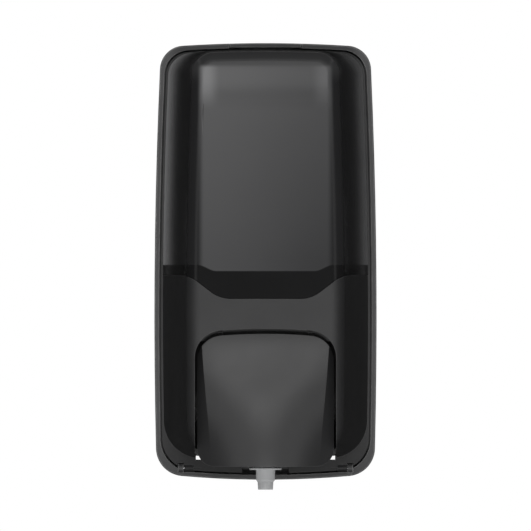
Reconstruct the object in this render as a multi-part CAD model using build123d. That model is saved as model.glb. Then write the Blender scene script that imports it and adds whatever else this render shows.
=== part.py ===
from build123d import *
import os
from math import hypot

# Wall mounted soap dispenser with a hinged cover and a push lever. Millimetres, +Z up.
# The wall is the plane y = 0 and the front faces -Y. "Depth" below is the distance from the
# wall, which is -y. The origin is the centre of the four wall screws, on the wall.

# ---- overall sizes ----
WIDTH = 142.0              # back plate at its widest
HEIGHT = 279.0             # back plate
COVER_DEPTH = 108.0        # wall to the flat front of the cover
FRONT_WIDTH = 98.0         # front of the cover, before its edges are rounded
WIDEST_Z = -35.0           # height of the widest place
WALL = 2.5                 # window and back plate
COVER_WALL = 3.0
PLATE_TOP = HEIGHT / 2
PLATE_BOTTOM = -HEIGHT / 2

# ---- clearances ----
FACE_GAP = 0.3             # between faces that pass each other
RUNNING_GAP = 0.05         # round a turning pin
FIT_GAP = 0.1              # between pieces that seat on each other
SCREW_GAP = 0.3            # round a screw in its clearance hole

# ---- back plate ----
RIM_DEPTH = 14.0
RIM_WALL = 3.0
PLATE_BOWS = (3530.0, 835.0, 607.0)     # radii of the bowed sides, top and bottom
PLATE_CORNERS = (15.5, 18.0)            # upper and lower corner radii
RIM_CORNERS = (16.0, 21.5)              # the same inside the rim
SCREW_SPACING_X = 104.0
SCREW_SPACING_Z = 196.0
SLOT_RADIUS = 2.6
SLOT_LENGTH = 9.0
PAD_HEIGHT = 1.5
PILOT_END = 1.0                         # floor left under a blind screw hole

# ---- cover and window ----
RIM_GAP = 1.3                           # between the rim and the cover
FLANGE_FRONT = 15.0                     # depth of the cover's flange face
SKIRT_BACK = 8.0                        # depth where the cover's skirt ends
FLANGE_WIDTH = 0.6                      # flange seen beside and above the window
LOWER_FLANGE_WIDTH = 7.2                # and below the cover's bottom
WINDOW_SEAT = 12.0                      # depth of the window's seat in the skirt
SKIRT_LEDGE = 1.2                       # how far the skirt reaches inside the cover's wall
DOME_TOP = PLATE_TOP - RIM_WALL - RIM_GAP - FLANGE_WIDTH
DOME_BOTTOM = PLATE_BOTTOM + RIM_WALL + RIM_GAP + LOWER_FLANGE_WIDTH
DOME_BOWS = (3530.0, 835.0, 400.0)
DOME_CORNERS = (15.0, 24.0)             # upper and lower corner radii
TOP_DRAFT = 0.8                         # how far the top leans in from its base to the front
BOTTOM_DRAFT = 1.0
FRONT_EDGE_RADIUS = 9.0
LEAN_START_Z = DOME_TOP - 35.0          # above this height the front leans back
LEAN_RADIUS = 130.0
FRONT_FALL = 0.8                        # how far the front's foot stands behind its top
JOINT_GAP = 0.3                         # between the window and the lower shell
WINDOW_SIDE_Z = -8.6                    # lower edge of the window, at the sides
WINDOW_MIDDLE_Z = -23.4                 # and in the middle
TONGUE_SIDE_Z = -2.2                    # upper edge of the tongue behind the window
TONGUE_MIDDLE_Z = -6.1
TONGUE_WALL = 2.0

# ---- lever ----
LEVER_WIDTH = 86.4
LEVER_HEIGHT = 83.8
LEVER_BOTTOM = PLATE_BOTTOM + 9.9
LEVER_TOP = LEVER_BOTTOM + LEVER_HEIGHT
LEVER_TOP_BOW = 350.0                   # radius of the lever's and the opening's top edge
LEVER_CORNER = 16.0
LEVER_FOOT_CORNER = 11.0
LEVER_WALL = 2.4
LEVER_BACK = COVER_DEPTH - 22.0
OPENING_TOP = LEVER_TOP + 3.3
OPENING_WIDTH = LEVER_WIDTH + 3.0
OPENING_CORNER = 17.5
OPENING_BACK = COVER_DEPTH - 40.0
AXLE_DEPTH = COVER_DEPTH - 18.0
AXLE_Z = LEVER_TOP - 14.2
AXLE_RADIUS = 2.0
AXLE_HALF_LENGTH = 37.5
EAR_X = (27.0, 30.0)                    # the cover's ears that hold the axle
LUG_X = (32.0, 35.0)                    # the lever's lugs on the axle
YOKE_FRONT = COVER_DEPTH - 11.0
YOKE_SCREW_X = (-16.5, 16.5)
YOKE_SCREW_Z = AXLE_Z - 24.0
YOKE_SCREW_RADIUS = 1.3

# ---- pump and refill ----
BOTTLE_WIDTH = 84.0
BOTTLE_BACK = 22.0                      # depth of the bottle's back
BOTTLE_FRONT = COVER_DEPTH - 12.0
BOTTLE_DEPTH = BOTTLE_FRONT - BOTTLE_BACK
BOTTLE_MIDDLE = (BOTTLE_FRONT + BOTTLE_BACK) / 2
CAP_RADIUS = 24.0
AXLE_ROOM = 7.0                         # between the cap and the middle of the lever's axle
PUMP_DEPTH = AXLE_DEPTH - AXLE_ROOM - CAP_RADIUS
FLANGE_Z = AXLE_Z - 32.0                # under side of the nozzle's flange
FLANGE_RADIUS = 17.0
STEM_RADIUS = 6.1
TIP_Z = PLATE_BOTTOM - 5.5
CAP_BOTTOM = FLANGE_Z + 23.0
NECK_BOTTOM = CAP_BOTTOM + 7.0
NECK_TOP = NECK_BOTTOM + 16.0
NECK_RADIUS = 18.0
BOTTLE_BASE = NECK_TOP + 24.0
BOTTLE_TOP = DOME_TOP - 27.7
GASKET_HEIGHT = 1.5
SLEEVE_RADIUS = 14.0
HOUSING_RADIUS = 12.0
HOUSING_BORE = 9.0
HOUSING_BOTTOM = CAP_BOTTOM - 13.0
PISTON_Z = CAP_BOTTOM - 11.0            # lower face of the piston's hub
NOSE_DEPTH = PUMP_DEPTH + 3.5           # the yoke's noses, under the nozzle's flange
NOSE_RADIUS = 3.0
NOSE_Z = FLANGE_Z - FACE_GAP - NOSE_RADIUS
ARM_X = (8.5, 13.0)

# ---- refill carrier ----
FIXING_X = 28.0
FIXING_Z = (CAP_BOTTOM + 19.0, CAP_BOTTOM - 33.0)
FIXING_RADIUS = 1.6
CARRIER_BACK = 8.0                      # depth of the carrier's back face
CARRIER_WALL = 3.0
CARRIER_WIDTH = 70.0
SHELF_WALL = 4.0

# ---- cover hinge ----
HINGE_DEPTH = 13.8
HINGE_Z = PLATE_BOTTOM + 7.5
PIN_RADIUS = 1.0
KNUCKLE_RADIUS = 2.2
KNUCKLE_X = (WIDTH / 2 - 25.0, WIDTH / 2 - 19.0)
BEARING_X = (KNUCKLE_X[1] + 0.4, KNUCKLE_X[1] + 3.8)
BEARING_RADIUS = 3.0

# ---- release button and latch ----
BUTTON_WIDTH = 46.0
BUTTON_GAP = 0.2
BUTTON_TRAVEL = 1.6
BUTTON_LIP_Z = PLATE_TOP - RIM_WALL     # the button's head reaches down to here
STEM_DEPTH = (4.6, 7.2)
STEM_HALF_WIDTH = 15.0
KEEPER_TOP = DOME_TOP - 4.7
LATCH_Z = DOME_TOP - 11.4               # top of the button's catch
STEM_FOOT_Z = DOME_TOP - 16.2
LATCH_SCREW_X = (-25.0, 25.0)
LATCH_SCREW_Z = DOME_TOP - 20.7
GUIDE_BASE_Z = DOME_TOP - 25.7
GUIDE_TOP_Z = DOME_TOP - 6.7
GUIDE_BACK = 4.0
GUIDE_FRONT = 9.4


def at_depth(depth):
    """Plane parallel to the wall; sketch x is X and sketch y is Z, extruding away from the wall."""
    return Plane.XZ.offset(depth)


def side_plane(x):
    """Plane across X; sketch x is the depth and sketch y is Z, extruding towards -X."""
    return Plane(origin=(x, 0, 0), x_dir=(0, -1, 0), z_dir=(-1, 0, 0))


def side_plate(points, x_low, x_high):
    """Plate between two X positions with an outline of (depth, z) points."""
    return extrude(side_plane(x_high) * make_face(Polyline(*points, close=True)), x_high - x_low)


def block(x, depth, z):
    """Box from its (low, high) pairs in X, depth and Z."""
    size = Box(x[1] - x[0], depth[1] - depth[0], z[1] - z[0])
    return Pos((x[0] + x[1]) / 2, -(depth[0] + depth[1]) / 2, (z[0] + z[1]) / 2) * size


def cross_rod(radius, x_low, x_high, depth, z):
    """Cylinder along X."""
    return extrude(side_plane(x_high) * Pos(depth, z) * Circle(radius), x_high - x_low)


def depth_rod(radius, x, z, depth_low, depth_high):
    """Cylinder along the depth."""
    return extrude(at_depth(depth_low) * Pos(x, z) * Circle(radius), depth_high - depth_low)


def turned(points, depth=PUMP_DEPTH):
    """Solid of revolution about a vertical axis, from (radius, z) points."""
    profile = Plane.XZ * make_face(Polyline(*points, close=True))
    return Pos(0, -depth, 0) * revolve(profile, Axis.Z)


def both_sides(shape):
    return shape + mirror(shape, Plane.YZ)


def bowed_outline(half_width, top, bottom, bows, corners, inset=0.0):
    """Rounded outline with bowed edges: where four large circles overlap."""
    side_bow, top_bow, bottom_bow = bows
    shape = Pos(half_width - side_bow, WIDEST_Z) * Circle(side_bow - inset)
    shape &= Pos(side_bow - half_width, WIDEST_Z) * Circle(side_bow - inset)
    shape &= Pos(0, top - top_bow) * Circle(top_bow - inset)
    shape &= Pos(0, bottom + bottom_bow) * Circle(bottom_bow - inset)
    shape = fillet(shape.vertices().group_by(Axis.Y)[-1], corners[0] - inset)
    return fillet(shape.vertices().group_by(Axis.Y)[0], corners[1] - inset)


def plate_outline(inset=0.0):
    """The plate's outline, or one inside its rim, where the corners have their own radii."""
    corners = [radius + RIM_WALL for radius in RIM_CORNERS] if inset else PLATE_CORNERS
    return bowed_outline(WIDTH / 2, PLATE_TOP, PLATE_BOTTOM, PLATE_BOWS, corners, inset)


def plate_prism(inset, depth_low, depth_high):
    return extrude(at_depth(depth_low) * plate_outline(inset), depth_high - depth_low)


def cover_cone(x, z, base_radius, shrink, inset):
    """One great cone of the cover's form; it loses "shrink" of its radius from base to front."""
    steepness = hypot(COVER_DEPTH - WINDOW_SEAT, shrink) / (COVER_DEPTH - WINDOW_SEAT)
    base = base_radius - inset * steepness
    cone = Cone(base, base - shrink, COVER_DEPTH - WINDOW_SEAT)
    middle = (COVER_DEPTH + WINDOW_SEAT) / 2
    return Pos(x, -middle, z) * Rot(X=90) * cone


def dome(inset=0.0):
    """The cover's outer form, shrunk by an inset: the space that four great cones share."""
    half_base = WIDTH / 2 - RIM_WALL - RIM_GAP - FLANGE_WIDTH
    side_bow, top_bow, bottom_bow = DOME_BOWS
    side_x = side_bow - half_base
    shape = cover_cone(side_x, WIDEST_Z, side_bow, half_base - FRONT_WIDTH / 2, inset)
    shape &= cover_cone(-side_x, WIDEST_Z, side_bow, half_base - FRONT_WIDTH / 2, inset)
    shape &= cover_cone(0, DOME_TOP - top_bow, top_bow, TOP_DRAFT, inset)
    shape &= cover_cone(0, DOME_BOTTOM + bottom_bow, bottom_bow, BOTTOM_DRAFT, inset)
    edges = shape.edges().filter_by(lambda e: -COVER_DEPTH + 5 < e.center().Y < -WINDOW_SEAT - 5)
    upper, lower = edges.sort_by(Axis.Z)[-2:], edges.sort_by(Axis.Z)[:2]
    shape = fillet(upper, DOME_CORNERS[0] - inset)
    lower = [e for e in shape.edges() if any(same_place(e, old) for old in lower)]
    shape = fillet(lower, DOME_CORNERS[1] - inset)
    front_depth = COVER_DEPTH - inset
    shape &= leaning_front(front_depth, LEAN_RADIUS - inset)
    front_edges = [e for e in shape.edges() if on_front_rim(e, front_depth)]
    return fillet(front_edges, FRONT_EDGE_RADIUS - inset)


def same_place(edge, other):
    return (edge.center() - other.center()).length < 0.01


def leaning_front(front_depth, lean_radius):
    """Everything behind the cover's side profile: nearly upright, then leaning back near the top."""
    reach = HEIGHT / 2 + 10
    foot = (front_depth - FRONT_FALL, -reach)
    lower = Polyline((0, reach), (0, -reach), foot, (front_depth, LEAN_START_Z))
    lean = JernArc((front_depth, LEAN_START_Z), (FRONT_FALL, LEAN_START_Z + reach), lean_radius, 25)
    upper = Polyline(lean @ 1, (0, reach))
    profile = make_face([*lower.edges(), *lean.edges(), *upper.edges()])
    return extrude(side_plane(WIDTH / 2) * profile, WIDTH)


def on_front_rim(edge, front_depth):
    """True for the edges round the front face, but not for the line where the lean starts."""
    middle = edge.center()
    at_lean_start = abs(middle.X) < 1 and abs(middle.Z - LEAN_START_Z) < 1
    return middle.Y < -(front_depth - 9) and not at_lean_start


def above_curve(side_z, middle_z, outer_x, inner_x, radius):
    """Everything above an S-shaped dividing line, seen from the front."""
    reach = WIDTH
    line = Polyline(
        (-reach, side_z), (-outer_x, side_z), (-inner_x, middle_z),
        (inner_x, middle_z), (outer_x, side_z), (reach, side_z),
        (reach, HEIGHT), (-reach, HEIGHT), close=True,
    )
    face = make_face(line)
    bends = [v for v in face.vertices() if abs(v.X) < reach - 1]
    face = fillet(bends, radius)
    return extrude(at_depth(0) * face, COVER_DEPTH + 20)


def above_window_edge(raise_by=0.0):
    return above_curve(WINDOW_SIDE_Z + raise_by, WINDOW_MIDDLE_Z + raise_by, 48.5, 29.0, 20.0)


def above_tongue_edge():
    return above_curve(TONGUE_SIDE_Z, TONGUE_MIDDLE_Z, 43.0, 31.0, 20.0)


# ---- back plate ----

def build_back_plate():
    plate = plate_prism(0, 0, RIM_DEPTH)
    plate = chamfer(plate.edges().group_by(Axis.Y)[0], 0.6)
    plate -= plate_prism(RIM_WALL, WALL, RIM_DEPTH + 1)
    plate += screw_pads()
    plate += carrier_bosses()
    plate += bottle_ribs()
    plate += latch_bosses()
    plate += both_sides(hinge_bearing())
    plate &= plate_prism(0, 0, COVER_DEPTH)
    plate -= pilot_holes()
    plate -= both_sides(knuckle_pocket())
    plate -= both_sides(cross_rod(PIN_RADIUS, KNUCKLE_X[0], BEARING_X[1] - 1, HINGE_DEPTH, HINGE_Z))
    plate -= wall_slots()
    plate -= button_slot()
    plate -= both_sides(mould_window())
    return plate


def screw_places():
    return GridLocations(SCREW_SPACING_X, SCREW_SPACING_Z, 2, 2)


def screw_pads():
    pad = SlotOverall(SLOT_LENGTH + 8, 2 * SLOT_RADIUS + 8)
    pads = Sketch() + [place * pad for place in screw_places()]
    return extrude(at_depth(WALL) * pads, PAD_HEIGHT)


def wall_slots():
    slot = SlotOverall(SLOT_LENGTH, 2 * SLOT_RADIUS)
    slots = Sketch() + [place * slot for place in screw_places()]
    return extrude(at_depth(-1) * slots, WALL + PAD_HEIGHT + 2)


def fixing_places():
    return [(x, z) for x in (-FIXING_X, FIXING_X) for z in FIXING_Z]


def carrier_bosses():
    return Part() + [depth_rod(4.5, x, z, WALL - 0.5, CARRIER_BACK) for x, z in fixing_places()]


def pilot_holes():
    """Blind holes for the screws of the carrier and the latch guide."""
    places = [(x, z, CARRIER_BACK) for x, z in fixing_places()]
    places += [(x, LATCH_SCREW_Z, GUIDE_BACK) for x in LATCH_SCREW_X]
    return Part() + [depth_rod(FIXING_RADIUS, x, z, PILOT_END, top + 1) for x, z, top in places]


def bottle_ribs():
    """Upright ribs that the bottle leans against, tied by two cross ribs."""
    root, front = WALL - 0.5, BOTTLE_BACK - FACE_GAP
    low, high = BOTTLE_BASE + 7, BOTTLE_TOP - 10
    ribs = both_sides(side_plate([(root, low), (front, low), (front, high), (root, high + 8)], 26, 28))
    ties = [block((-27, 27), (root, 7), (z - 1, z + 1)) for z in (low + 20, high - 20)]
    return ribs + ties


def hinge_bearing():
    return cross_rod(BEARING_RADIUS, BEARING_X[0], BEARING_X[1], HINGE_DEPTH, HINGE_Z)


def knuckle_pocket():
    low, high = KNUCKLE_X[0] - FACE_GAP, BEARING_X[0]
    return cross_rod(KNUCKLE_RADIUS + 0.4, low, high, HINGE_DEPTH, HINGE_Z)


def mould_window():
    """Opening through the floor that the mould's core for the hinge leaves."""
    return block((KNUCKLE_X[0] - 5, KNUCKLE_X[0]), (-1, WALL + 1), (HINGE_Z + 4.5, HINGE_Z + 10.5))


def button_slot():
    half = BUTTON_WIDTH / 2 + BUTTON_GAP
    back = STEM_DEPTH[0] - 2 * BUTTON_GAP
    return block((-half, half), (back, RIM_DEPTH + 1), (PLATE_TOP - 8, PLATE_TOP + 5))


def latch_bosses():
    return Part() + [depth_rod(3.5, x, LATCH_SCREW_Z, WALL - 0.5, GUIDE_BACK) for x in LATCH_SCREW_X]


# ---- refill carrier ----

def build_refill_carrier():
    half = CARRIER_WIDTH / 2
    back_low, back_high = FIXING_Z[1] - 8, FIXING_Z[0] + 8
    shelf_top = CAP_BOTTOM - FIT_GAP
    shelf_low = shelf_top - SHELF_WALL
    shelf_front = PUMP_DEPTH + 20.0
    back_front = CARRIER_BACK + CARRIER_WALL
    carrier = block((-half, half), (CARRIER_BACK, back_front), (back_low, back_high))
    carrier = fillet(carrier.edges().filter_by(Axis.Y), 5)
    shelf = Pos(0, -(back_front + shelf_front) / 2 + 0.5) * Rectangle(2 * half, shelf_front - back_front + 1)
    shelf = fillet(shelf.vertices().group_by(Axis.Y)[0], 9)
    slot = Pos(0, -PUMP_DEPTH) * Circle(SLEEVE_RADIUS + 1.5)
    slot += Pos(0, -PUMP_DEPTH - 20) * Rectangle(2 * SLEEVE_RADIUS + 3, 40)
    carrier += extrude(Plane.XY.offset(shelf_low) * (shelf - slot), SHELF_WALL)
    root, reach = back_front - 1, PUMP_DEPTH + 7
    gusset = [(root, back_low + 6), (root, shelf_low + 1), (reach, shelf_low + 1), (reach - 6, shelf_low - 4)]
    tip = reach + 4
    cheek = [(root, shelf_top - 1), (tip, shelf_top - 1), (tip, shelf_top + 6), (root, back_high - 6)]
    for outline in (gusset, cheek):
        carrier += both_sides(side_plate(outline, half - CARRIER_WALL, half))
    for x, z in fixing_places():
        carrier -= depth_rod(FIXING_RADIUS + SCREW_GAP, x, z, CARRIER_BACK - 1, back_front + 1)
    return carrier


def pan_screw(radius, length, head_radius, head_height):
    """Pan head screw along +Z: the under side of its head is at z = 0."""
    outline = Polyline(
        (0, head_height), (head_radius * 0.7, head_height), (head_radius, head_height * 0.4),
        (head_radius, 0), (radius, 0), (radius, -length), (0, -length), close=True,
    )
    screw = revolve(Plane.XZ * make_face(outline), Axis.Z)
    recess = extrude(Plane.XY.offset(head_height / 2) * RegularPolygon(head_radius * 0.45, 6), head_height)
    return screw - recess


def build_carrier_screws():
    seat = CARRIER_BACK + CARRIER_WALL
    screw = Rot(X=90) * pan_screw(FIXING_RADIUS, 7.5, 3.2, 2.2)
    return Part() + [Pos(x, -seat, z) * screw for x, z in fixing_places()]


# ---- cover ----

def build_window():
    shell = dome() - dome(WALL)
    shell &= above_window_edge()
    return shell


def build_front_cover():
    lower = dome() - dome(COVER_WALL)
    lower -= above_window_edge(-JOINT_GAP)
    tongue = dome(WALL + JOINT_GAP) - dome(WALL + JOINT_GAP + TONGUE_WALL)
    tongue -= above_tongue_edge()
    tongue &= above_window_edge(-JOINT_GAP - 8)
    cover = lower + tongue + skirt()
    cover -= lever_opening()
    cover -= nozzle_notch() + drip_notch()
    cover -= both_sides(drain_notch())
    cover -= both_sides(bearing_clearance())
    cover += both_sides(knuckle())
    cover -= both_sides(pin_bore())
    cover += both_sides(axle_ear()) + opening_curtain()
    cover += keeper_pad() - window_seat()
    return cover


def skirt():
    """Frame round the cover that nests in the rim and carries the window on its seat."""
    outer = RIM_WALL + RIM_GAP
    frame = plate_prism(outer, SKIRT_BACK, FLANGE_FRONT)
    half_opening = WIDTH / 2 - outer - FLANGE_WIDTH
    inset = COVER_WALL + SKIRT_LEDGE
    opening = bowed_outline(half_opening, DOME_TOP, DOME_BOTTOM, DOME_BOWS, DOME_CORNERS, inset)
    frame -= extrude(at_depth(SKIRT_BACK - 1) * opening, FLANGE_FRONT)
    half_gap = BUTTON_WIDTH / 2 + 2
    travel_end = BUTTON_LIP_Z - BUTTON_TRAVEL - FACE_GAP
    button_gap = block((-half_gap, half_gap), (0, COVER_DEPTH), (travel_end, PLATE_TOP + 5))
    return frame - window_seat() - button_gap


def window_seat():
    """Space for the window in the skirt, with its fit clearance."""
    return (dome(-FIT_GAP / 2) - dome(COVER_WALL)) & above_window_edge(-JOINT_GAP)


def bowed_top(width, top, bottom, corner):
    """Upright rectangle whose top edge is bowed and runs round into its sides."""
    shape = Pos(0, (top + bottom) / 2) * Rectangle(width, top - bottom)
    shape &= Pos(0, top - LEVER_TOP_BOW) * Circle(LEVER_TOP_BOW)
    upper = shape.vertices().filter_by(lambda v: v.Y > bottom + 1 and abs(v.X) > width / 4)
    return fillet(upper, corner)


def lever_opening():
    shape = bowed_top(OPENING_WIDTH, OPENING_TOP, PLATE_BOTTOM - 20, OPENING_CORNER)
    return extrude(at_depth(OPENING_BACK) * shape, COVER_DEPTH)


def opening_curtain():
    """Wall behind the gap over the lever, hung from the cover's front, so that nothing shows through."""
    half, back, inside = OPENING_WIDTH / 2 - 2, COVER_DEPTH - 15, COVER_DEPTH - COVER_WALL + 0.5
    shelf_low = OPENING_TOP + 3
    curtain = block((-half, half), (back, back + 2), (OPENING_TOP - 8.0, shelf_low + 2))
    return curtain + block((-half, half), (back, inside), (shelf_low, shelf_low + 2))


def drain_notch():
    """Slot through the lower corner of the shell, where the lever's side gap ends."""
    side = OPENING_WIDTH / 2
    heights = (DOME_BOTTOM + 1.3, DOME_BOTTOM + 4.5)
    return block((side - 3.2, side - 0.2), (SKIRT_BACK - 1, OPENING_BACK + 1), heights)


def nozzle_notch():
    """Gap in the cover's bottom wall that the nozzle hangs through, open to the front."""
    half = SLEEVE_RADIUS + 1
    slot = Pos(0, -PUMP_DEPTH) * Circle(half)
    slot += Pos(0, -PUMP_DEPTH - 10) * Rectangle(2 * half, 20)
    return extrude(Plane.XY.offset(DOME_BOTTOM - 10) * slot, 20)


def drip_notch():
    """Gap in the flange behind the nozzle."""
    half = SLEEVE_RADIUS + 1
    return block((-half, half), (SKIRT_BACK - 1, FLANGE_FRONT + 1), (PLATE_BOTTOM, LEVER_BOTTOM))


def bearing_clearance():
    return cross_rod(BEARING_RADIUS + 0.4, BEARING_X[0] - 0.2, BEARING_X[1] + 0.4, HINGE_DEPTH, HINGE_Z)


def knuckle():
    return cross_rod(KNUCKLE_RADIUS, *KNUCKLE_X, HINGE_DEPTH, HINGE_Z)


def pin_bore():
    return cross_rod(PIN_RADIUS + RUNNING_GAP, KNUCKLE_X[0] - 5, BEARING_X[0] + 1, HINGE_DEPTH, HINGE_Z)


def axle_ear():
    """Plate that hangs from inside the cover's front, above the lever, and holds the axle."""
    inside, top, hub = COVER_DEPTH - COVER_WALL + 0.5, OPENING_TOP + 16.5, 4.6
    points = [
        (inside, top), (inside, OPENING_TOP + 1), (AXLE_DEPTH + hub + 1, OPENING_TOP - 2),
        (AXLE_DEPTH + hub, AXLE_Z), (AXLE_DEPTH - hub, AXLE_Z), (AXLE_DEPTH - hub, AXLE_Z + 10),
        (inside - 8, top),
    ]
    ear = side_plate(points, *EAR_X) + cross_rod(hub, *EAR_X, AXLE_DEPTH, AXLE_Z)
    return ear - cross_rod(AXLE_RADIUS, EAR_X[0] - 1, EAR_X[1] + 1, AXLE_DEPTH, AXLE_Z)


def keeper_pad():
    """Flat pad inside the top of the skirt for the latch keeper."""
    return block((-16, 16), (SKIRT_BACK + 1.5, FLANGE_FRONT), (KEEPER_TOP, DOME_TOP - 1.2))


# ---- latch keeper ----

def build_latch_keeper():
    """Hook under the skirt: the button's catch stands in front of its lip."""
    neck_back, lip_back, lip_front = 10.5, 7.8, 10.2
    lip_top, neck_low, lip_low = KEEPER_TOP - 2, KEEPER_TOP - 4.4, LATCH_Z + FACE_GAP
    points = [
        (FLANGE_FRONT, KEEPER_TOP), (neck_back, KEEPER_TOP), (neck_back, lip_top), (lip_back, lip_top),
        (lip_back, neck_low), (lip_back + 1.4, lip_low), (lip_front, lip_low), (lip_front, neck_low),
        (FLANGE_FRONT, neck_low),
    ]
    return side_plate(points, -12, 12)


# ---- hinge pins ----

def build_hinge_pins():
    pin = cross_rod(PIN_RADIUS, KNUCKLE_X[0] + 0.2, BEARING_X[1] - 1, HINGE_DEPTH, HINGE_Z)
    return both_sides(pin)


# ---- release button, guide and spring ----

def build_release_button():
    half, (stem_back, stem_front) = BUTTON_WIDTH / 2, STEM_DEPTH
    head = block((-half, half), (stem_back, RIM_DEPTH), (BUTTON_LIP_Z, PLATE_TOP + 5))
    head &= plate_prism(0, 0, RIM_DEPTH)
    head = chamfer(head.edges().group_by(Axis.Y)[0], 0.5)
    stem = block((-STEM_HALF_WIDTH, STEM_HALF_WIDTH), STEM_DEPTH, (STEM_FOOT_Z, BUTTON_LIP_Z + 1))
    shelf_front, catch_back = stem_front + 5.8, stem_front + 3.4
    shelf = block((-13.5, 13.5), (stem_back, shelf_front), (STEM_FOOT_Z, STEM_FOOT_Z + 2))
    catch = [
        (catch_back, STEM_FOOT_Z + 1.5), (shelf_front, STEM_FOOT_Z + 1.5), (shelf_front, LATCH_Z - 1.2),
        (catch_back + 0.8, LATCH_Z), (catch_back, LATCH_Z),
    ]
    return head + stem + shelf + side_plate(catch, -11, 11)


def build_latch_guide():
    """Channel on the back plate that the button's stem slides in, with a ledge for the spring."""
    half, (stem_back, stem_front) = STEM_HALF_WIDTH + BUTTON_GAP, STEM_DEPTH
    channel = block((-30, 30), (GUIDE_BACK, GUIDE_FRONT), (GUIDE_BASE_Z, GUIDE_TOP_Z))
    channel = fillet(channel.edges().filter_by(Axis.Y), 3)
    stem_space = (stem_back - BUTTON_GAP, stem_front + BUTTON_GAP)
    channel -= block((-half, half), stem_space, (GUIDE_BASE_Z + 2, GUIDE_TOP_Z + 1))
    front_space = (stem_front, GUIDE_FRONT + 1)
    channel -= block((1.5 - half, half - 1.5), front_space, (GUIDE_BASE_Z + 4, GUIDE_TOP_Z + 1))
    for x in LATCH_SCREW_X:
        channel -= depth_rod(FIXING_RADIUS + SCREW_GAP, x, LATCH_SCREW_Z, GUIDE_BACK - 1, GUIDE_FRONT + 1)
        channel -= depth_rod(3.5, x, LATCH_SCREW_Z, GUIDE_BACK + 3, GUIDE_FRONT + 1)
    return channel


def build_latch_screws():
    screw = Rot(X=90) * pan_screw(FIXING_RADIUS, 5.5, 3.0, 1.8)
    return Part() + [Pos(x, -(GUIDE_BACK + 3), LATCH_SCREW_Z) * screw for x in LATCH_SCREW_X]


def build_latch_spring():
    """Bowed strip of spring steel: its ends stand on the guide and its crown carries the button."""
    half, strip = STEM_HALF_WIDTH - 2, 0.5
    low, high = GUIDE_BASE_Z + 2, STEM_FOOT_Z
    crown = high - low - strip
    radius = (half * half + crown * crown) / (2 * crown)
    centre = high - strip - radius
    ring = Pos(0, centre) * (Circle(radius + strip) - Circle(radius))
    bow = ring & Pos(0, low + 10) * Rectangle(4 * half, 20)
    return extrude(at_depth(STEM_DEPTH[0]) * bow, STEM_DEPTH[1] - STEM_DEPTH[0])


# ---- push lever ----

LEVER_STATIONS = (
    # share of the height from the top, then how far the face's edge stands in from the side and
    # in front of it, and how far its edges and its middle stand out from the cover's front
    (-0.04, 2.2, 5.0, -8.0, -7.4),
    (0.28, 4.2, 5.0, -5.4, -3.4),
    (0.60, 6.5, 5.6, -4.4, 2.4),
    (0.82, 8.0, 6.4, -5.6, 4.4),
    (1.05, 9.0, 7.0, -7.4, 4.6),
)


def lever_section(share, bevel_in, bevel_depth, edge_out, middle_out, inset):
    """Level section: straight back and sides, a bevel along each side and a crowned face."""
    z = LEVER_TOP - share * LEVER_HEIGHT
    half_back = LEVER_WIDTH / 2 - inset
    half_face = half_back - bevel_in
    back = LEVER_BACK - 4
    edge, middle = COVER_DEPTH + edge_out - inset, COVER_DEPTH + middle_out - inset
    shoulder = edge - bevel_depth
    sides = Polyline(
        (half_face, -edge), (half_back, -shoulder), (half_back, -back),
        (-half_back, -back), (-half_back, -shoulder), (-half_face, -edge),
    )
    face = ThreePointArc((-half_face, -edge), (0, -middle), (half_face, -edge))
    return Plane.XY.offset(z) * make_face([*sides.edges(), *face.edges()])


def lever_form(inset=0.0):
    sections = [lever_section(*station, inset) for station in LEVER_STATIONS]
    form = loft(sections)
    outline = bowed_top(LEVER_WIDTH - 2 * inset, LEVER_TOP - inset, LEVER_BOTTOM, LEVER_CORNER - inset)
    if not inset:
        outline = fillet(outline.vertices().group_by(Axis.Y)[0], LEVER_FOOT_CORNER)
    return form & extrude(at_depth(0) * outline, 2 * COVER_DEPTH)


def lever_back_cut():
    """Space behind the lever: its walls get shallower towards the top, clear of the ears."""
    low, high, far = LEVER_BOTTOM - 20, LEVER_TOP + 3, LEVER_BACK - 26
    lip = COVER_DEPTH - 11
    points = [
        (far, low), (LEVER_BACK, low), (LEVER_BACK, LEVER_TOP - 14.4), (lip, LEVER_TOP - 3.4),
        (lip, high), (far, high),
    ]
    return side_plate(points, -LEVER_WIDTH, LEVER_WIDTH)


def build_push_lever():
    outer = lever_form()
    lever = outer - lever_form(LEVER_WALL) - lever_back_cut()
    pads = [depth_rod(4.0, x, YOKE_SCREW_Z, YOKE_FRONT, COVER_DEPTH + 2) for x in YOKE_SCREW_X]
    lever += (both_sides(axle_lug() + lever_stiffener()) + pads) & outer
    lever -= both_sides(cross_rod(AXLE_RADIUS + RUNNING_GAP, LUG_X[0] - 1, LUG_X[1] + 1, AXLE_DEPTH, AXLE_Z))
    for x in YOKE_SCREW_X:
        lever -= depth_rod(YOKE_SCREW_RADIUS, x, YOKE_SCREW_Z, YOKE_FRONT - 1, YOKE_FRONT + 5)
    return lever


def axle_lug():
    hub, front = 4.2, COVER_DEPTH - 5
    points = [
        (AXLE_DEPTH - hub, AXLE_Z), (AXLE_DEPTH + hub, AXLE_Z + 1.5), (front, AXLE_Z + 3),
        (front + 2, AXLE_Z - 8), (AXLE_DEPTH, AXLE_Z - 6),
    ]
    return side_plate(points, *LUG_X) + cross_rod(hub, *LUG_X, AXLE_DEPTH, AXLE_Z)


def lever_stiffener():
    back, low = LEVER_BACK + 6, LEVER_BOTTOM + 2
    points = [(back, low), (back, AXLE_Z - 10), (COVER_DEPTH, AXLE_Z - 6), (COVER_DEPTH + 4, low)]
    return side_plate(points, 24, 26)


def build_lever_axle():
    return cross_rod(AXLE_RADIUS, -AXLE_HALF_LENGTH, AXLE_HALF_LENGTH, AXLE_DEPTH, AXLE_Z)


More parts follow.
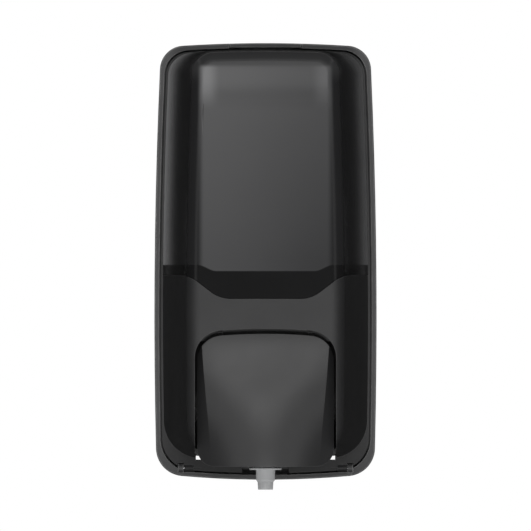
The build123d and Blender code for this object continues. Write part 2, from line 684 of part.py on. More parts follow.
def build_axle_clips():
    low, high = LUG_X[1] + 0.3, LUG_X[1] + 1.3
    ring = cross_rod(2 * AXLE_RADIUS, low, high, AXLE_DEPTH, AXLE_Z)
    ring -= cross_rod(AXLE_RADIUS, low - 1, high + 1, AXLE_DEPTH, AXLE_Z)
    mouth = block((low - 1, high + 1), (AXLE_DEPTH - 1.4, AXLE_DEPTH + 1.4), (AXLE_Z - 6, AXLE_Z))
    return both_sides(ring - mouth)


# ---- yoke ----

def build_lever_yoke():
    """Fork behind the lever: two arms under the nozzle's flange, open towards the wall."""
    top, bottom, back = YOKE_SCREW_Z + 8, YOKE_SCREW_Z - 22, YOKE_FRONT - 3
    plate = block((-21, 21), (back, YOKE_FRONT), (bottom, top))
    plate = fillet(plate.edges().filter_by(Axis.Y), 4)
    flange_front = PUMP_DEPTH + FLANGE_RADIUS + 3
    arm = [
        (back + 1, top - 2), (flange_front + 5, top - 8), (flange_front, NOSE_Z + 1.8),
        (NOSE_DEPTH, NOSE_Z + 1.8), (NOSE_DEPTH, NOSE_Z - NOSE_RADIUS),
        (flange_front + 5, bottom + 3), (back + 1, bottom + 1),
    ]
    arms = side_plate(arm, *ARM_X) + cross_rod(NOSE_RADIUS, *ARM_X, NOSE_DEPTH, NOSE_Z)
    yoke = plate + both_sides(arms)
    for x in YOKE_SCREW_X:
        yoke -= depth_rod(YOKE_SCREW_RADIUS + 0.4, x, YOKE_SCREW_Z, back - 2, YOKE_FRONT + 1)
    return yoke


def build_yoke_screws():
    screw = Rot(X=90) * Rot(X=180) * pan_screw(YOKE_SCREW_RADIUS, 7.0, 2.6, 1.6)
    return Part() + [Pos(x, -(YOKE_FRONT - 3), YOKE_SCREW_Z) * screw for x in YOKE_SCREW_X]


# ---- lever spring ----

def coil_spring(wire, radius, turns, length):
    """Coil along +Z from z = 0, wound from square wire."""
    path = Helix(length / turns, length, radius, center=(0, 0, 0))
    section = Plane(origin=path @ 0, z_dir=path % 0) * RegularPolygon(wire, 4)
    return sweep(section, path)


def build_lever_spring():
    """Torsion spring round the axle, between the two ears."""
    length = 6.0
    return Pos(-length / 2, -AXLE_DEPTH, AXLE_Z) * Rot(Y=90) * coil_spring(0.6, 3.4, 3, length)


# ---- refill ----

def build_refill_bottle():
    body = fillet(Rectangle(BOTTLE_WIDTH, BOTTLE_DEPTH).vertices(), 18)
    body = Pos(0, PUMP_DEPTH - BOTTLE_MIDDLE) * body
    tank = extrude(Plane.XY.offset(BOTTLE_BASE) * body, BOTTLE_TOP - BOTTLE_BASE)
    tank = fillet(tank.edges().group_by(Axis.Z)[-1], 7)
    mouth = fillet(Rectangle(2 * NECK_RADIUS + 4, 2 * NECK_RADIUS + 4).vertices(), NECK_RADIUS + 1)
    shoulder = loft([Plane.XY.offset(NECK_TOP) * mouth, Plane.XY.offset(BOTTLE_BASE) * body])
    neck = Pos(0, 0, (NECK_TOP + NECK_BOTTOM) / 2) * Cylinder(NECK_RADIUS, NECK_TOP - NECK_BOTTOM)
    bottle = tank + shoulder + neck
    bore_top = NECK_TOP + 8
    bore = Pos(0, 0, (bore_top + NECK_BOTTOM) / 2) * Cylinder(NECK_RADIUS - 2, bore_top - NECK_BOTTOM)
    return Pos(0, -PUMP_DEPTH, 0) * (bottle - bore)


def build_neck_gasket():
    low, high = NECK_BOTTOM - GASKET_HEIGHT, NECK_BOTTOM
    inner, outer = HOUSING_RADIUS + 0.5, NECK_RADIUS + 0.3
    return turned([(inner, low), (outer, low), (outer, high), (inner, high)])


def build_bottle_cap():
    """Screw cap with grip grooves, clamping the gasket under the neck."""
    floor, top, wall = NECK_BOTTOM - GASKET_HEIGHT, NECK_TOP - 3, CAP_RADIUS - 2
    bore, neck = HOUSING_RADIUS + FIT_GAP, NECK_RADIUS + 0.4
    cap = turned([
        (bore, CAP_BOTTOM), (CAP_RADIUS, CAP_BOTTOM), (CAP_RADIUS, CAP_BOTTOM + 2.5),
        (wall, CAP_BOTTOM + 3.5), (wall, top), (neck, top), (neck, floor), (bore, floor),
    ])
    groove = Pos(wall + 0.4, 0, top - 5) * Box(1.2, 1.6, 22)
    grooves = [Pos(0, -PUMP_DEPTH, 0) * Rot(Z=angle) * groove for angle in range(0, 360, 15)]
    return cap - grooves


def build_pump_housing():
    """Cylinder of the pump, hung in the neck, with the inlet at its top."""
    inlet, throat, top = 2.5, HOUSING_RADIUS - 1.5, NECK_TOP + 6
    return turned([
        (inlet, top), (8, top), (throat, NECK_TOP + 2), (throat, NECK_BOTTOM),
        (HOUSING_RADIUS, NECK_BOTTOM), (HOUSING_RADIUS, HOUSING_BOTTOM), (HOUSING_BORE, HOUSING_BOTTOM),
        (HOUSING_BORE, NECK_TOP - 2), (inlet + 1, NECK_TOP + 0.5), (inlet, NECK_TOP + 1.5),
    ])


def build_inlet_ball():
    """Check ball under the inlet, turned from a sixteen sided outline."""
    radius, centre = 3.2, NECK_TOP - 1.6
    outline = Pos(0, centre) * RegularPolygon(radius, 16, rotation=90)
    half = outline & Pos(radius, centre) * Rectangle(2 * radius, 4 * radius)
    return Pos(0, -PUMP_DEPTH, 0) * revolve(Plane.XZ * half, Axis.Z)


def build_pump_spring():
    """Return spring between the piston and the inlet."""
    low, high = PISTON_Z + 8, NECK_TOP - 4.5
    return Pos(0, -PUMP_DEPTH, low) * coil_spring(0.5, 6.6, 3, high - low)


def build_pump_piston():
    """Hub with two soft lips that wipe the pump's cylinder."""
    bore, hub, lip = 3.6, 7.0, HOUSING_BORE - FIT_GAP
    return turned([
        (bore, PISTON_Z), (hub, PISTON_Z), (lip, PISTON_Z - 2), (lip, PISTON_Z + 1),
        (hub + 0.4, PISTON_Z + 3), (lip, PISTON_Z + 5), (lip, PISTON_Z + 7), (bore, PISTON_Z + 7),
    ])


def build_pump_nozzle():
    """Sleeve, flange, stem and spout in one: it slides up over the pump housing."""
    sleeve_top, sleeve_bore = PISTON_Z + 2, HOUSING_RADIUS + 0.6
    tube_top, tube, flange_top = PISTON_Z + 7.1, 3.5, FLANGE_Z + 2
    collar, bore = 10.2, 4.4
    sleeve = [
        (2.0, tube_top), (tube, tube_top), (tube, flange_top), (sleeve_bore, flange_top),
        (sleeve_bore, sleeve_top), (SLEEVE_RADIUS, sleeve_top), (SLEEVE_RADIUS, flange_top),
        (FLANGE_RADIUS, flange_top), (FLANGE_RADIUS, FLANGE_Z),
    ]
    stem = [
        (STEM_RADIUS, FLANGE_Z), (STEM_RADIUS, TIP_Z + 14.6), (collar, TIP_Z + 13.6),
        (collar, TIP_Z + 12.6), (STEM_RADIUS, TIP_Z + 12.6), (STEM_RADIUS - 0.2, TIP_Z + 6),
        (5.0, TIP_Z + 4.8), (4.7, TIP_Z),
    ]
    waterway = [
        (3.0, TIP_Z), (3.0, TIP_Z + 9), (bore, TIP_Z + 11), (bore, FLANGE_Z - 12), (2.0, FLANGE_Z - 8),
    ]
    return turned(sleeve + stem + waterway)


def build_foam_screen():
    """Cup shaped screen pressed into the nozzle's bore."""
    low, high, wall = FLANGE_Z - 28, FLANGE_Z - 18, 1.0
    return turned([
        (3.4, low), (4.3, low), (4.3, high), (0.05, high), (0.05, high - wall), (3.4, high - wall),
    ])


PIECES = {
    "back_plate": build_back_plate,
    "refill_carrier": build_refill_carrier,
    "carrier_screws": build_carrier_screws,
    "hinge_pins": build_hinge_pins,
    "release_button": build_release_button,
    "latch_guide": build_latch_guide,
    "latch_screws": build_latch_screws,
    "latch_spring": build_latch_spring,
    "front_cover": build_front_cover,
    "window": build_window,
    "latch_keeper": build_latch_keeper,
    "push_lever": build_push_lever,
    "lever_axle": build_lever_axle,
    "axle_clips": build_axle_clips,
    "lever_spring": build_lever_spring,
    "lever_yoke": build_lever_yoke,
    "yoke_screws": build_yoke_screws,
    "refill_bottle": build_refill_bottle,
    "neck_gasket": build_neck_gasket,
    "bottle_cap": build_bottle_cap,
    "pump_housing": build_pump_housing,
    "inlet_ball": build_inlet_ball,
    "pump_spring": build_pump_spring,
    "pump_piston": build_pump_piston,
    "pump_nozzle": build_pump_nozzle,
    "foam_screen": build_foam_screen,
}

os.makedirs("parts", exist_ok=True)
for name, build in PIECES.items():
    export_step(build(), f"parts/{name}.step")
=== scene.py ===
import math

import bpy
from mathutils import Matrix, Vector


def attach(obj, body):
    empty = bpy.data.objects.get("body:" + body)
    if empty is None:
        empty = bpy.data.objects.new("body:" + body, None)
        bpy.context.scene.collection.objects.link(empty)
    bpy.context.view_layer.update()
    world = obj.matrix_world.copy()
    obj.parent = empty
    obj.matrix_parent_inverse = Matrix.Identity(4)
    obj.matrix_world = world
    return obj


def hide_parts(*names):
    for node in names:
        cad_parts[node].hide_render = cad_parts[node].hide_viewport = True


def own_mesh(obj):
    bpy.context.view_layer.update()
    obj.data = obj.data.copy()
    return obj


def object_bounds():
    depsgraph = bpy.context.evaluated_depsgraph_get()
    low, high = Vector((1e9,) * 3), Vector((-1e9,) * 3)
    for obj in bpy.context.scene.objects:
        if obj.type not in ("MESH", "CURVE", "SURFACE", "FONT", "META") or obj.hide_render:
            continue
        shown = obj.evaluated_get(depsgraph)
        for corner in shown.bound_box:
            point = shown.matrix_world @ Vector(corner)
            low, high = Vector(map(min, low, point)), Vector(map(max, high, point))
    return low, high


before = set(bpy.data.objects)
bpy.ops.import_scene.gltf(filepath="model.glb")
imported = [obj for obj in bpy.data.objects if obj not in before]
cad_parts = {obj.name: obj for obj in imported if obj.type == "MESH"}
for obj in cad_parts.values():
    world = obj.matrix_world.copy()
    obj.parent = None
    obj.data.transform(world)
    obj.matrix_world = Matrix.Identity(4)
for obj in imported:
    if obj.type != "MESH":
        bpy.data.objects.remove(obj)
cad_low, cad_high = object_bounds()


# ---- Back plate ----
# The plate is injection moulded in black ABS with a fine spark-eroded skin, and screwed flat to the wall.
# Its rim stands round the cover's skirt, and its floor carries every inner piece.

def skin_group():
    """Moulded skin: a fine grain for the bump, a soft mottle for the colour and a slow change of gloss."""
    group = bpy.data.node_groups.new("moulded_skin", "ShaderNodeTree")
    face = group.interface
    for name, value in (("Grain Size", 0.0004), ("Mottle Size", 0.02)):
        face.new_socket(name, in_out="INPUT", socket_type="NodeSocketFloat").default_value = value
    for name in ("Grain", "Mottle", "Smudge"):
        face.new_socket(name, in_out="OUTPUT", socket_type="NodeSocketFloat")
    start, end = group.nodes.new("NodeGroupInput"), group.nodes.new("NodeGroupOutput")
    place = group.nodes.new("ShaderNodeTexCoord")
    link = group.links.new

    def noise(size_socket, factor, detail, roughness):
        scale = group.nodes.new("ShaderNodeMath")
        scale.operation = "DIVIDE"
        scale.inputs[0].default_value = factor
        link(start.outputs[size_socket], scale.inputs[1])
        texture = group.nodes.new("ShaderNodeTexNoise")
        texture.inputs["Detail"].default_value = detail
        texture.inputs["Roughness"].default_value = roughness
        link(place.outputs["Object"], texture.inputs["Vector"])
        link(scale.outputs[0], texture.inputs["Scale"])
        return texture.outputs["Fac"]

    link(noise("Grain Size", 1.0, 2.0, 0.6), end.inputs["Grain"])
    link(noise("Mottle Size", 1.0, 3.0, 0.55), end.inputs["Mottle"])
    link(noise("Mottle Size", 0.35, 4.0, 0.65), end.inputs["Smudge"])
    return group


def edge_group():
    """Edge rub and painted edge highlight: a mask of the outer edges, broken up where handling has rubbed
    them, and their softened normal.
    """
    edge_cosines = (0.995, 0.85)        # between the softened and the true normal: flat, and a full edge
    patch_scale = 70.0
    patch_limits = (0.35, 0.65)
    group = bpy.data.node_groups.new("rub_and_highlight_mask", "ShaderNodeTree")
    face = group.interface
    face.new_socket("Radius", in_out="INPUT", socket_type="NodeSocketFloat").default_value = 0.0004
    face.new_socket("Break Up", in_out="INPUT", socket_type="NodeSocketFloat").default_value = 0.5
    face.new_socket("Mask", in_out="OUTPUT", socket_type="NodeSocketFloat")
    face.new_socket("Normal", in_out="OUTPUT", socket_type="NodeSocketVector")
    start, end = group.nodes.new("NodeGroupInput"), group.nodes.new("NodeGroupOutput")
    link = group.links.new
    bevel = group.nodes.new("ShaderNodeBevel")
    bevel.samples = 4
    link(start.outputs["Radius"], bevel.inputs["Radius"])
    surface = group.nodes.new("ShaderNodeNewGeometry")
    turn = group.nodes.new("ShaderNodeVectorMath")
    turn.operation = "DOT_PRODUCT"
    link(bevel.outputs["Normal"], turn.inputs[0])
    link(surface.outputs["Normal"], turn.inputs[1])
    sharp = group.nodes.new("ShaderNodeMapRange")
    sharp.inputs["From Min"].default_value, sharp.inputs["From Max"].default_value = edge_cosines
    link(turn.outputs["Value"], sharp.inputs["Value"])
    place = group.nodes.new("ShaderNodeTexCoord")
    patches = group.nodes.new("ShaderNodeTexNoise")
    patches.inputs["Scale"].default_value = patch_scale
    patches.inputs["Detail"].default_value = 3.0
    link(place.outputs["Object"], patches.inputs["Vector"])
    broken = group.nodes.new("ShaderNodeMapRange")
    broken.inputs["From Min"].default_value, broken.inputs["From Max"].default_value = patch_limits
    link(patches.outputs["Fac"], broken.inputs["Value"])
    share = group.nodes.new("ShaderNodeMix")
    share.data_type = "FLOAT"
    share.inputs[2].default_value = 1.0
    link(start.outputs["Break Up"], share.inputs[0])
    link(broken.outputs["Result"], share.inputs[3])
    mask = group.nodes.new("ShaderNodeMath")
    mask.operation = "MULTIPLY"
    link(sharp.outputs["Result"], mask.inputs[0])
    link(share.outputs[0], mask.inputs[1])
    link(mask.outputs[0], end.inputs["Mask"])
    link(bevel.outputs["Normal"], end.inputs["Normal"])
    return group


moulded_skin = skin_group()
rub_and_highlight_mask = edge_group()


def skinned(name, colour, mottled, gloss, grain_size, grain_depth, mottle_size, gloss_span=(0.0, 1.0)):
    """Material with a moulded skin: two colours that mottle, and (low, high) roughness, spread over that
    span of the slow noise. Returns the material, its shader, its tint and its bump."""
    material = bpy.data.materials.new(name)
    material.use_nodes = True
    nodes, link = material.node_tree.nodes, material.node_tree.links.new
    shader = nodes["Principled BSDF"]
    skin = nodes.new("ShaderNodeGroup")
    skin.node_tree = moulded_skin
    skin.inputs["Grain Size"].default_value = grain_size
    skin.inputs["Mottle Size"].default_value = mottle_size
    tint = nodes.new("ShaderNodeMix")
    tint.data_type = "RGBA"
    tint.inputs[6].default_value = (*colour, 1)
    tint.inputs[7].default_value = (*mottled, 1)
    link(skin.outputs["Mottle"], tint.inputs[0])
    link(tint.outputs[2], shader.inputs["Base Color"])
    polish = nodes.new("ShaderNodeMapRange")
    polish.inputs["From Min"].default_value, polish.inputs["From Max"].default_value = gloss_span
    polish.inputs["To Min"].default_value, polish.inputs["To Max"].default_value = gloss
    link(skin.outputs["Smudge"], polish.inputs["Value"])
    link(polish.outputs["Result"], shader.inputs["Roughness"])
    bump = nodes.new("ShaderNodeBump")
    bump.inputs["Distance"].default_value = grain_depth
    link(skin.outputs["Grain"], bump.inputs["Height"])
    link(bump.outputs["Normal"], shader.inputs["Normal"])
    return material, shader, tint, bump


def surface_material(name, colour, mottled, worn_and_lit_edge, gloss, grain_size, grain_depth, mottle_size, edge_radius):
    """Solid moulded material whose edges are softened and lightened to a paler edge colour, which stands both
    for rubbing from use and for a painted highlight along the edges.
    """
    material, shader, tint, bump = skinned(
        name, colour, mottled, gloss, grain_size, grain_depth, mottle_size, gloss_span=(0.3, 0.7),
    )
    bump.inputs["Strength"].default_value = 1.0
    nodes, link = material.node_tree.nodes, material.node_tree.links.new
    rub = nodes.new("ShaderNodeGroup")
    rub.node_tree = rub_and_highlight_mask
    rub.inputs["Radius"].default_value = edge_radius
    # The edges are lightened through the mask: partly rubbing from use, partly a painted highlight along
    # them.
    edge_scuff_and_highlight = nodes.new("ShaderNodeMix")
    edge_scuff_and_highlight.data_type = "RGBA"
    edge_scuff_and_highlight.inputs[7].default_value = (*worn_and_lit_edge, 1)
    link(rub.outputs["Mask"], edge_scuff_and_highlight.inputs[0])
    link(tint.outputs[2], edge_scuff_and_highlight.inputs[6])
    link(edge_scuff_and_highlight.outputs[2], shader.inputs["Base Color"])
    link(rub.outputs["Normal"], bump.inputs["Normal"])
    return material


def finish_nodes(material, *names):
    """Gives CAD pieces this finish."""
    for name in names:
        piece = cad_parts[name]
        piece.data.materials.clear()
        piece.data.materials.append(material)


# The plate's edge colour is far paler than its body: a painted highlight along the rim's edges, besides
# rubbing from use.
plate_black = surface_material(
    "plate_black", colour=(0.030, 0.030, 0.031), mottled=(0.038, 0.038, 0.039), worn_and_lit_edge=(0.40, 0.40, 0.40),
    gloss=(0.42, 0.52), grain_size=0.0005, grain_depth=0.00003, mottle_size=0.02, edge_radius=0.0008,
)
finish_nodes(plate_black, "back_plate")


# ---- Cover ----
# The lower shell, its skirt and the tongue behind the window are one moulding in the same black ABS,
# a little smoother than the plate, hung on two pins at the bottom of the plate.

cover_black = surface_material(
    "cover_black", colour=(0.010, 0.010, 0.0105), mottled=(0.015, 0.015, 0.0155), worn_and_lit_edge=(0.10, 0.10, 0.10),
    gloss=(0.54, 0.62), grain_size=0.00045, grain_depth=0.00004, mottle_size=0.025, edge_radius=0.0005,
)
finish_nodes(cover_black, "front_cover")


# ---- Window ----
# A smoked polycarbonate shell, polished in the mould and too dark to see the refill through clearly. It
# drops into a seat in the cover's skirt, and the tongue backs its lower edge. The material is opaque:
# what shows through the smoke is laid into its colour, with painted light and shade: the refill paler
# to the upper left, painted highlights on its shoulders, painted dim light above it and painted light
# at the wall's foot.

SMOKE_COLOUR = (0.010, 0.010, 0.0105)
SMOKE_MOTTLE = (0.014, 0.014, 0.0145)
REFILL_SHADED = (0.030, 0.030, 0.031)         # the refill behind the smoke, at its lower right, in painted shade
REFILL_LIT = (0.080, 0.080, 0.081)         # and at its upper left, in painted light
SHOULDER_HIGHLIGHT = (0.115, 0.115, 0.117)       # painted highlights on its rounded shoulders
CROWN_LIGHT = (0.024, 0.024, 0.0245)       # painted dim light in the empty space above it
ROOT_LIGHT = (0.260, 0.260, 0.264)         # painted light at the wall's foot: daylight that enters it
TONGUE_COLOUR = (0.006, 0.006, 0.0062)
REFILL_HALF_WIDTH = 0.0410
REFILL_TOP_Z = 0.1235
EDGE_BLUR = 0.0025                          # half width of the refill's blurred side
TOP_BLUR = 0.0015                           # and of its blurred top
FACE_Y = (-0.088, -0.096)                   # the front's rolled edge, from side wall to front face
TOP_FADE_Z = (0.094, 0.118)                 # where painted shade darkens the refill again towards its top
SHOULDER_X = (0.028, 0.037)                 # where the painted highlights on its shoulders come in, outwards
SHOULDER_Z = (0.094, 0.108)                 # and upwards
CROWN_FADE = 0.012                          # height over which the painted light above it comes in
WALL_Y = (-0.082, -0.012)                   # the side wall, from its front to its foot
TONGUE_EDGE_Z = (-0.0022, -0.0061)          # the tongue's upper edge, at its sides and in the middle
TONGUE_BEND_X = (0.043, 0.031)              # where that edge starts and ends its slope
TONGUE_BLUR = 0.0004


def seen_through_and_light_group():
    """What shows through the smoked wall, and painted light laid over it: masks of the refill, of painted
    highlights on its shoulders, of painted dim light in the space over it, of painted light at the foot
    of the wall and of the tongue, and how far the refill's painted light and shade has risen from dark to
    pale."""
    group = bpy.data.node_groups.new("window_seen_through_and_light", "ShaderNodeTree")
    for name in ("Refill", "Refill Lighting", "Shoulder Highlight", "Crown Light", "Root Light", "Tongue"):
        group.interface.new_socket(name, in_out="OUTPUT", socket_type="NodeSocketFloat")
    end = group.nodes.new("NodeGroupOutput")
    link = group.links.new
    place = group.nodes.new("ShaderNodeTexCoord")
    axes = group.nodes.new("ShaderNodeSeparateXYZ")
    link(place.outputs["Object"], axes.inputs[0])
    x, y, z = (axes.outputs[name] for name in "XYZ")

    def ramp(source, start, finish, low=0.0, high=1.0, curve="SMOOTHSTEP"):
        """Step from one value to another as the source passes from start to finish."""
        node = group.nodes.new("ShaderNodeMapRange")
        node.interpolation_type = curve
        node.inputs["From Min"].default_value, node.inputs["From Max"].default_value = start, finish
        node.inputs["To Min"].default_value, node.inputs["To Max"].default_value = low, high
        link(source, node.inputs["Value"])
        return node.outputs["Result"]

    def calculate(operation, *values):
        node = group.nodes.new("ShaderNodeMath")
        node.operation = operation
        for socket, value in zip(node.inputs, values):
            if isinstance(value, float):
                socket.default_value = value
            else:
                link(value, socket)
        return node.outputs[0]

    aside = calculate("ABSOLUTE", x)
    in_front = ramp(y, *FACE_Y)
    beside = ramp(aside, REFILL_HALF_WIDTH + EDGE_BLUR, REFILL_HALF_WIDTH - EDGE_BLUR)
    below_top = ramp(z, REFILL_TOP_Z + TOP_BLUR, REFILL_TOP_Z - TOP_BLUR)
    refill = calculate("MULTIPLY", calculate("MULTIPLY", beside, below_top), in_front)
    link(refill, end.inputs["Refill"])
    # painted light and shade on the refill: paler upwards and to the left, darker again near its top
    risen = calculate("ADD", ramp(z, 0.0, 0.12, 0.0, 0.55, "LINEAR"), ramp(x, 0.045, -0.04, 0.0, 0.45))
    link(calculate("SUBTRACT", risen, ramp(z, *TOP_FADE_Z, 0.0, 0.5)), end.inputs["Refill Lighting"])
    # painted highlights on the refill's shoulders, stronger on the left
    corner = calculate("MULTIPLY", ramp(aside, *SHOULDER_X), ramp(z, *SHOULDER_Z))
    link(calculate("MULTIPLY", corner, ramp(x, 0.04, -0.04, 0.3, 1.0)), end.inputs["Shoulder Highlight"])
    # painted dim light in the empty space above the refill
    above = ramp(z, REFILL_TOP_Z - CROWN_FADE, REFILL_TOP_Z)
    link(calculate("MULTIPLY", above, in_front), end.inputs["Crown Light"])
    # painted light at the foot of the side wall, stronger on the left
    daylight = calculate("POWER", ramp(y, *WALL_Y, 0.0, 1.0, "LINEAR"), 3.0)
    link(calculate("MULTIPLY", daylight, ramp(x, 0.02, -0.02, 0.4, 1.0)), end.inputs["Root Light"])
    above_tongue = calculate("SUBTRACT", z, ramp(aside, *TONGUE_BEND_X, *TONGUE_EDGE_Z))
    link(ramp(above_tongue, TONGUE_BLUR, -TONGUE_BLUR), end.inputs["Tongue"])
    return group


def smoked_window():
    material, shader, tint, _ = skinned(
        "smoked_window", colour=SMOKE_COLOUR, mottled=SMOKE_MOTTLE, gloss=(0.20, 0.26),
        grain_size=0.004, grain_depth=0.000003, mottle_size=0.05, gloss_span=(0.35, 0.75),
    )
    shader.inputs["Specular IOR Level"].default_value = 0.2
    nodes, link = material.node_tree.nodes, material.node_tree.links.new
    behind = nodes.new("ShaderNodeGroup")
    behind.node_tree = seen_through_and_light_group()

    def laid_over(below, colour, mask):
        """One colour laid over another where the mask is set."""
        mix = nodes.new("ShaderNodeMix")
        mix.data_type = "RGBA"
        link(mask, mix.inputs[0])
        for socket, value in ((mix.inputs[6], below), (mix.inputs[7], colour)):
            if isinstance(value, tuple):
                socket.default_value = (*value, 1)
            else:
                link(value, socket)
        return mix.outputs[2]

    # painted light and shade on the refill, painted highlights on its shoulders, painted dim light above it
    # and painted light at the wall's foot, laid into the window's colour
    refill = laid_over(REFILL_SHADED, REFILL_LIT, behind.outputs["Refill Lighting"])
    refill = laid_over(refill, SHOULDER_HIGHLIGHT, behind.outputs["Shoulder Highlight"])
    wall = laid_over(tint.outputs[2], CROWN_LIGHT, behind.outputs["Crown Light"])
    wall = laid_over(wall, ROOT_LIGHT, behind.outputs["Root Light"])
    wall = laid_over(wall, refill, behind.outputs["Refill"])
    wall = laid_over(wall, TONGUE_COLOUR, behind.outputs["Tongue"])
    link(wall, shader.inputs["Base Color"])
    return material


finish_nodes(smoked_window(), "window")


# ---- Push lever ----
# A crowned shell in black ABS that turns on a steel axle inside the cover. Hands keep it polished, so
# it is glossier and a little paler than the cover round it.

lever_black = surface_material(
    "lever_black", colour=(0.015, 0.015, 0.0155), mottled=(0.021, 0.021, 0.0215), worn_and_lit_edge=(0.12, 0.12, 0.12),
    gloss=(0.32, 0.42), grain_size=0.0006, grain_depth=0.00003, mottle_size=0.03, edge_radius=0.0005,
)
finish_nodes(lever_black, "push_lever")


# ---- Release button and its guide ----
# The button in the top of the rim is black ABS like the plate. Its guide, the keeper on the cover and
# the lever's yoke are moulded in acetal, which slides well and looks slightly waxy.

finish_nodes(plate_black, "release_button")

acetal_black = surface_material(
    "acetal_black", colour=(0.020, 0.020, 0.021), mottled=(0.028, 0.028, 0.029), worn_and_lit_edge=(0.06, 0.06, 0.06),
    gloss=(0.30, 0.38), grain_size=0.0012, grain_depth=0.00001, mottle_size=0.012, edge_radius=0.0003,
)
finish_nodes(acetal_black, "latch_guide", "latch_keeper", "lever_yoke")


# ---- Refill carrier ----
# A grey ABS bracket screwed to the plate's bosses: its forked shelf holds the refill by its cap.

carrier_grey = surface_material(
    "carrier_grey", colour=(0.16, 0.165, 0.17), mottled=(0.19, 0.195, 0.20), worn_and_lit_edge=(0.30, 0.30, 0.30),
    gloss=(0.40, 0.50), grain_size=0.0006, grain_depth=0.00003, mottle_size=0.02, edge_radius=0.0004,
)
finish_nodes(carrier_grey, "refill_carrier")


# ---- Screws, pins, axle and springs ----
# Zinc plated pan head screws, ground steel pins and axle, and springs of drawn wire and strip. The
# pump's spring and the button's are shown by copies, each with its own mesh, fixed to the base.

def metal_material(name, colour, dulled, gloss, grain_size, streak):
    """Bare or plated metal with fine drawing marks and a dulled film."""
    material, shader, _, _ = skinned(name, colour, dulled, gloss, grain_size, streak, mottle_size=0.003)
    shader.inputs["Metallic"].default_value = 1.0
    return material


zinc_plate = metal_material(
    "zinc_plate", colour=(0.62, 0.63, 0.65), dulled=(0.50, 0.52, 0.55),
    gloss=(0.28, 0.42), grain_size=0.0003, streak=0.00001,
)
ground_steel = metal_material(
    "ground_steel", colour=(0.55, 0.55, 0.56), dulled=(0.44, 0.44, 0.45),
    gloss=(0.18, 0.30), grain_size=0.0002, streak=0.000005,
)
spring_steel = metal_material(
    "spring_steel", colour=(0.42, 0.42, 0.43), dulled=(0.30, 0.30, 0.31),
    gloss=(0.25, 0.38), grain_size=0.0002, streak=0.000005,
)
finish_nodes(zinc_plate, "carrier_screws", "latch_screws", "yoke_screws")
finish_nodes(ground_steel, "hinge_pins", "lever_axle", "inlet_ball")
finish_nodes(spring_steel, "latch_spring", "lever_spring", "pump_spring", "axle_clips")


def working_spring(node, body):
    """Copy of a spring with its own mesh, attached to the body in place of the hidden CAD spring."""
    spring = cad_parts[node].copy()
    spring.name = f"{node}_in_use"
    bpy.context.scene.collection.objects.link(spring)
    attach(spring, body)
    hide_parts(node)
    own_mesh(spring)


working_spring("pump_spring", "base")
working_spring("latch_spring", "base")


# ---- Refill ----
# A blow moulded polythene bottle, milky and slightly uneven, full of soap. Its cap is white polypropylene
# with grip grooves, over a grey rubber gasket.

def cloudy_plastic(name, colour, mottled, gloss, see_through, grain_size, grain_depth):
    """Milky polythene or polypropylene: light scatters a little way into it."""
    material, shader, _, _ = skinned(name, colour, mottled, gloss, grain_size, grain_depth, mottle_size=0.012)
    shader.inputs["Subsurface Weight"].default_value = see_through
    shader.inputs["Subsurface Radius"].default_value = (0.003, 0.003, 0.003)
    shader.inputs["Subsurface Scale"].default_value = 1.0
    return material


bottle_milk = cloudy_plastic(
    "bottle_milk", colour=(0.68, 0.69, 0.68), mottled=(0.60, 0.62, 0.61),
    gloss=(0.32, 0.46), see_through=0.4, grain_size=0.004, grain_depth=0.00004,
)
cap_white = cloudy_plastic(
    "cap_white", colour=(0.78, 0.78, 0.77), mottled=(0.72, 0.72, 0.71),
    gloss=(0.30, 0.42), see_through=0.2, grain_size=0.001, grain_depth=0.00002,
)
finish_nodes(bottle_milk, "refill_bottle")
finish_nodes(cap_white, "bottle_cap")

gasket_rubber = surface_material(
    "gasket_rubber", colour=(0.09, 0.09, 0.09), mottled=(0.12, 0.12, 0.12), worn_and_lit_edge=(0.14, 0.14, 0.14),
    gloss=(0.62, 0.75), grain_size=0.0006, grain_depth=0.00002, mottle_size=0.006, edge_radius=0.0002,
)
finish_nodes(gasket_rubber, "neck_gasket")


# ---- Pump and nozzle ----
# Thin walled natural polypropylene, cloudy and a little grey where the wall is thick. The nozzle is
# pressed on the piston's stem, and its foam screen is woven nylon.

nozzle_cloud = cloudy_plastic(
    "nozzle_cloud", colour=(0.44, 0.445, 0.45), mottled=(0.385, 0.39, 0.395),
    gloss=(0.22, 0.34), see_through=0.5, grain_size=0.0015, grain_depth=0.00002,
)
finish_nodes(nozzle_cloud, "pump_nozzle", "pump_housing")
piston_white = cloudy_plastic(
    "piston_white", colour=(0.70, 0.71, 0.72), mottled=(0.64, 0.65, 0.66),
    gloss=(0.28, 0.38), see_through=0.4, grain_size=0.0012, grain_depth=0.00001,
)
finish_nodes(piston_white, "pump_piston", "foam_screen")


# ---- Studio ----
# A pale floor under the piece, a wide soft lamp high in front and a smaller one low in front, and dark
# cards all round that only reflections see, so that glossy black plastic stays black. The floor ends
# short in front, where the low lamp shines up past its edge.

FLOOR_Z = cad_low.z - 0.12
LOW_CARD_Z = FLOOR_Z + 0.02


def card(name, centre, half_width, half_height, normal):
    """Flat rectangular card standing in the studio, facing along its normal."""
    across = Vector((-normal.y, normal.x, 0)) if abs(normal.z) < 0.9 else Vector((1, 0, 0))
    across.normalize()
    up = normal.cross(across)
    turns = ((-1, -1), (1, -1), (1, 1), (-1, 1))
    corners = [centre + across * a * half_width + up * b * half_height for a, b in turns]
    mesh = bpy.data.meshes.new(name)
    mesh.from_pydata([tuple(c) for c in corners], [], [(0, 1, 2, 3)])
    board = bpy.data.objects.new(name, mesh)
    bpy.context.scene.collection.objects.link(board)
    return board


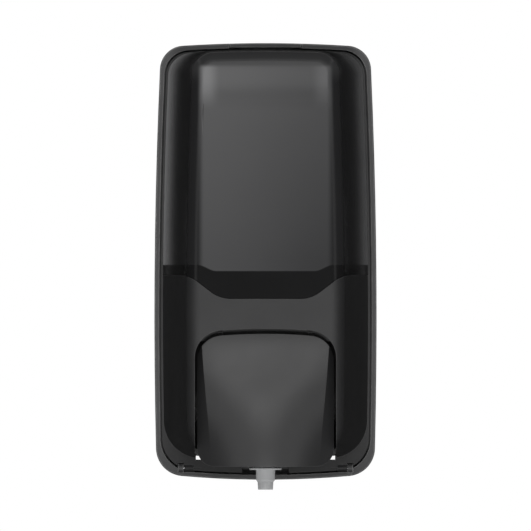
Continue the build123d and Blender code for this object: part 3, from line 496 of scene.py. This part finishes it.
def paper_material(name, colour):
    material = bpy.data.materials.new(name)
    material.use_nodes = True
    shader = material.node_tree.nodes["Principled BSDF"]
    shader.inputs["Base Color"].default_value = (*colour, 1)
    shader.inputs["Roughness"].default_value = 0.9
    shader.inputs["Specular IOR Level"].default_value = 0.1
    return material


floor = card("floor", Vector((0, 1.15, FLOOR_Z)), 1.5, 1.5, Vector((0, 0, 1)))
floor.data.materials.append(paper_material("floor_paper", (0.86, 0.86, 0.86)))

black_card = paper_material("black_card", (0.01, 0.01, 0.01))
grey_card = paper_material("grey_card", (0.05, 0.05, 0.05))


def dark_board(name, centre, half_width, half_height, normal, paper=black_card):
    """Dark card that tones down reflections and stays out of the picture."""
    board = card(name, Vector(centre), half_width, half_height, Vector(normal))
    board.data.materials.append(paper)
    board.visible_camera = False
    board.visible_diffuse = False
    board.visible_transmission = False
    board.visible_shadow = False


for side, word in ((-1, "left"), (1, "right")):
    dark_board(f"card_behind_{word}", (side * 1.15, 0.9, 0), 0.85, 1.6, (0, -1, 0))
    dark_board(f"card_beside_{word}", (side * 1.7, -0.4, 0), 1.4, 1.6, (-side, 0, 0), grey_card)
dark_board("card_above", (0, -0.6, 1.9), 1.7, 1.5, (0, 0, -1))
dark_board("card_front", (0, -4.2, 0.2), 1.8, 1.7, (0, 1, 0))
dark_board("card_below", (0, 0.65, LOW_CARD_Z), 1.7, 1.0, (0, 0, 1))
dark_board("card_behind_top", (0, 0.95, 0.85), 0.4, 0.8, (0, -1, 0))
dark_board("card_behind_foot", (0, 0.95, -0.85), 0.4, 0.8, (0, -1, 0))


def soft_lamp(name, position, target, width, height, power):
    data = bpy.data.lights.new(name, "AREA")
    data.shape = "RECTANGLE"
    data.size, data.size_y = width, height
    data.energy = power
    lamp = bpy.data.objects.new(name, data)
    lamp.location = position
    lamp.rotation_mode = "QUATERNION"
    lamp.rotation_quaternion = (Vector(target) - Vector(position)).to_track_quat("-Z", "Y")
    lamp.visible_camera = False
    bpy.context.scene.collection.objects.link(lamp)


soft_lamp("key_lamp", position=(-0.1, -2.68, 0.86), target=(0, 0, 0), width=1.5, height=0.7, power=13.5)
soft_lamp("low_lamp", position=(0.05, -2.5, -1.05), target=(0, 0, -0.05), width=0.6, height=0.5, power=25)


def studio_world():
    """Even dim light, and white where the camera, glossy and clear surfaces look past the set."""
    world = bpy.data.worlds.new("studio")
    bpy.context.scene.world = world
    world.use_nodes = True
    nodes, link = world.node_tree.nodes, world.node_tree.links.new
    dim = nodes["Background"]
    dim.inputs["Color"].default_value = (1, 1, 1, 1)
    dim.inputs["Strength"].default_value = 0.8
    white = nodes.new("ShaderNodeBackground")
    white.inputs["Color"].default_value = (1, 1, 1, 1)
    white.inputs["Strength"].default_value = 1.0
    path = nodes.new("ShaderNodeLightPath")
    seen = path.outputs["Is Camera Ray"]
    for ray in ("Is Glossy Ray", "Is Transmission Ray"):
        either = nodes.new("ShaderNodeMath")
        either.operation = "MAXIMUM"
        link(seen, either.inputs[0])
        link(path.outputs[ray], either.inputs[1])
        seen = either.outputs[0]
    mix = nodes.new("ShaderNodeMixShader")
    link(seen, mix.inputs[0])
    link(dim.outputs[0], mix.inputs[1])
    link(white.outputs[0], mix.inputs[2])
    link(mix.outputs[0], nodes["World Output"].inputs["Surface"])


studio_world()
bpy.context.scene.view_settings.view_transform = "Standard"


# ---- Camera ----
# Straight on to the front, a little below the middle of the plate, with a very long lens.

VIEW_WIDTH = 0.3399
DISTANCE = 8.0
VIEW_CENTRE_Z = -0.0026

camera_data = bpy.data.cameras.new("camera")
camera_data.lens = camera_data.sensor_width * DISTANCE / VIEW_WIDTH
camera_data.clip_end = 100
camera = bpy.data.objects.new("camera", camera_data)
camera.location = (0, -DISTANCE, VIEW_CENTRE_Z)
camera.rotation_euler = (math.pi / 2, 0, 0)
bpy.context.scene.collection.objects.link(camera)
bpy.context.scene.camera = camera
